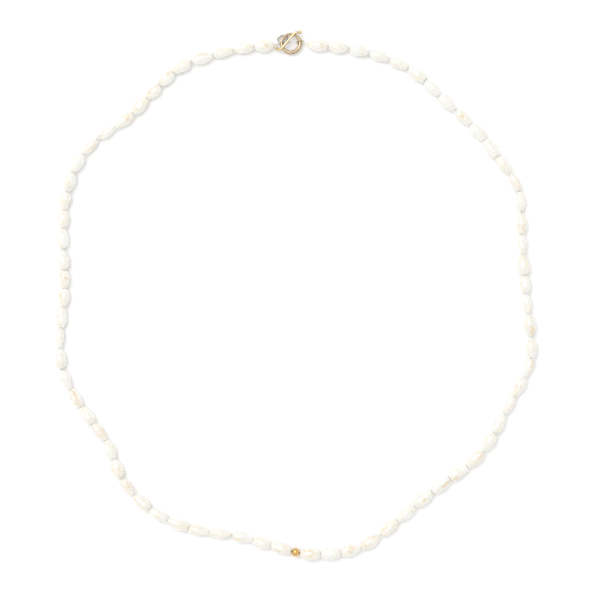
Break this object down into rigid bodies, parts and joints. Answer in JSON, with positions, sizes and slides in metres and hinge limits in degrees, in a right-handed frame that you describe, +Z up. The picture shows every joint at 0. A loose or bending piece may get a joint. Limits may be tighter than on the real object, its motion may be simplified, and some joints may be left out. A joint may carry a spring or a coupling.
{
  "type": "pearl necklace",
  "caption": "Closed strand of rice-shaped baroque pearls on silk thread, with a small gold bead at the front and a gold ring-and-bar toggle clasp at the back.",
  "frame": {"origin": "middle of the strand's outer box, on the surface that the necklace lies on", "axes": "+Z up; +Y from the gold bead at the front to the clasp at the back; +X to the right seen from above"},
  "size_m": [0.1406, 0.1542, 0.0038],
  "materials": {
    "pearl": "glossy white nacre with cream and peach tints",
    "gold": "polished pale gold plating",
    "plain_wire": "polished thin wire, greyer gold",
    "thread": "off-white twisted silk"
  },
  "bodies": {
    "strand_front": {"pearls_33_34": "pearl", "pearls_35_36": "pearl", "pearl_37": "pearl", "pearls_38_39": "pearl", "thread_front": "thread"},
    "gold_bead": {"gold_bead": "gold"},
    "strand_right_1": {"pearls_27_28": "pearl", "pearls_29_30": "pearl", "pearls_31_32": "pearl", "thread_right_1": "thread"},
    "strand_right_2": {"pearls_21_22": "pearl", "pearls_23_24": "pearl", "pearls_25_26": "pearl", "thread_right_2": "thread"},
    "strand_right_3": {"pearls_15_16": "pearl", "pearls_17_18": "pearl", "pearls_19_20": "pearl", "thread_right_3": "thread"},
    "strand_right_4": {"pearls_09_10": "pearl", "pearls_11_12": "pearl", "pearls_13_14": "pearl", "thread_right_4": "thread"},
    "strand_right_5": {"pearls_03_04": "pearl", "pearls_05_06": "pearl", "pearls_07_08": "pearl", "thread_right_5": "thread"},
    "strand_back_right": {"pearls_01_02": "pearl", "thread_back_right": "thread"},
    "jump_ring": {"jump_ring": "plain_wire"},
    "toggle_ring": {"toggle_ring": "gold"},
    "strand_left_1": {"pearls_40_41": "pearl", "pearls_42_43": "pearl", "pearls_44_45": "pearl", "thread_left_1": "thread"},
    "strand_left_2": {"pearls_46_47": "pearl", "pearls_48_49": "pearl", "pearls_50_51": "pearl", "thread_left_2": "thread"},
    "strand_left_3": {"pearls_52_53": "pearl", "pearls_54_55": "pearl", "pearls_56_57": "pearl", "thread_left_3": "thread"},
    "strand_left_4": {"pearls_58_59": "pearl", "pearls_60_61": "pearl", "pearls_62_63": "pearl", "thread_left_4": "thread"},
    "strand_left_5": {"pearls_64_65": "pearl", "pearls_66_67": "pearl", "pearls_68_69": "pearl", "thread_left_5": "thread"},
    "strand_back_left": {"pearls_70_71": "pearl", "pearls_72_73": "pearl", "thread_back_left": "thread"},
    "bar_link": {"bar_link": "plain_wire"},
    "toggle_bar": {"toggle_bar": "gold"}
  },
  "joints": [
    {"name": "bend_right_1", "type": "hinge", "parent": "strand_front", "child": "strand_right_1", "pos_m": [0.02452, -0.06976, 0.00178], "axis": [0, 0, 1], "range_deg": [-7, 7]},
    {"name": "bend_right_2", "type": "hinge", "parent": "strand_right_1", "child": "strand_right_2", "pos_m": [0.05462, -0.04528, 0.00178], "axis": [0, 0, 1], "range_deg": [-7.4, 7.4]},
    {"name": "bend_right_3", "type": "hinge", "parent": "strand_right_2", "child": "strand_right_3", "pos_m": [0.06853, -0.01195, 0.00178], "axis": [0, 0, 1], "range_deg": [-12.4, 12.4]},
    {"name": "bend_right_4", "type": "hinge", "parent": "strand_right_3", "child": "strand_right_4", "pos_m": [0.06558, 0.02421, 0.0017], "axis": [0, 0, 1], "range_deg": [-16.8, 16.8]},
    {"name": "bend_right_5", "type": "hinge", "parent": "strand_right_4", "child": "strand_right_5", "pos_m": [0.04631, 0.05392, 0.00178], "axis": [0, 0, 1], "range_deg": [-3.2, 3.2]},
    {"name": "bend_right_6", "type": "hinge", "parent": "strand_right_5", "child": "strand_back_right", "pos_m": [0.0154, 0.07189, 0.00193], "axis": [0, 0, 1], "range_deg": [-11.7, 11.7]},
    {"name": "bend_left_1", "type": "hinge", "parent": "strand_front", "child": "strand_left_1", "pos_m": [-0.01871, -0.06966, 0.0017], "axis": [0, 0, 1], "range_deg": [-12.6, 12.6]},
    {"name": "bend_left_2", "type": "hinge", "parent": "strand_left_1", "child": "strand_left_2", "pos_m": [-0.05091, -0.0532, 0.00193], "axis": [0, 0, 1], "range_deg": [-1.5, 1.5]},
    {"name": "bend_left_3", "type": "hinge", "parent": "strand_left_2", "child": "strand_left_3", "pos_m": [-0.06818, -0.02152, 0.00178], "axis": [0, 0, 1], "range_deg": [-16, 16]},
    {"name": "bend_left_4", "type": "hinge", "parent": "strand_left_3", "child": "strand_left_4", "pos_m": [-0.06781, 0.01344, 0.00193], "axis": [0, 0, 1], "range_deg": [-11.8, 11.8]},
    {"name": "bend_left_5", "type": "hinge", "parent": "strand_left_4", "child": "strand_left_5", "pos_m": [-0.05774, 0.04564, 0.00137], "axis": [0, 0, 1], "range_deg": [-4.1, 4.1]},
    {"name": "bend_left_6", "type": "hinge", "parent": "strand_left_5", "child": "strand_back_left", "pos_m": [-0.03046, 0.06816, 0.00178], "axis": [0, 0, 1], "range_deg": [-9.7, 9.7]},
    {"name": "bead_spin", "type": "hinge", "parent": "strand_front", "child": "gold_bead", "pos_m": [0.00126, -0.07498, 0.00193], "axis": [-0.9645, 0.2356, -0.1196], "continuous": true},
    {"name": "jump_ring_swing", "type": "hinge", "parent": "strand_back_right", "child": "jump_ring", "pos_m": [0.0024, 0.07396, 0.00135], "axis": [0, 0, 1], "range_deg": [-2, 2]},
    {"name": "toggle_ring_swing", "type": "hinge", "parent": "jump_ring", "child": "toggle_ring", "pos_m": [0.00141, 0.07381, 0.00135], "axis": [0, 0, 1], "range_deg": [-2.5, 2.5]},
    {"name": "link_swing", "type": "hinge", "parent": "strand_back_left", "child": "bar_link", "pos_m": [-0.00515, 0.0738, 0.00065], "axis": [0, 0, 1], "range_deg": [-3, 3]},
    {"name": "bar_swivel", "type": "hinge", "parent": "bar_link", "child": "toggle_bar", "pos_m": [-0.0023, 0.07405, 0.00135], "axis": [0, 0, 1], "range_deg": [-2, 12]}
  ],
  "couplings": [
    {"joint": "bend_right_2", "follows": "bend_right_1", "ratio": 1.0446},
    {"joint": "bend_right_3", "follows": "bend_right_1", "ratio": -1.7605},
    {"joint": "bend_right_4", "follows": "bend_right_1", "ratio": -2.3922},
    {"joint": "bend_right_5", "follows": "bend_right_1", "ratio": 0.4441},
    {"joint": "bend_right_6", "follows": "bend_right_1", "ratio": 1.664},
    {"joint": "bend_left_1", "follows": "bend_right_1", "ratio": -1.797},
    {"joint": "bend_left_2", "follows": "bend_right_1", "ratio": -0.2066},
    {"joint": "bend_left_3", "follows": "bend_right_1", "ratio": 2.2764},
    {"joint": "bend_left_4", "follows": "bend_right_1", "ratio": 1.6805},
    {"joint": "bend_left_5", "follows": "bend_right_1", "ratio": -0.5776},
    {"joint": "bend_left_6", "follows": "bend_right_1", "ratio": -1.3757}
  ]
}
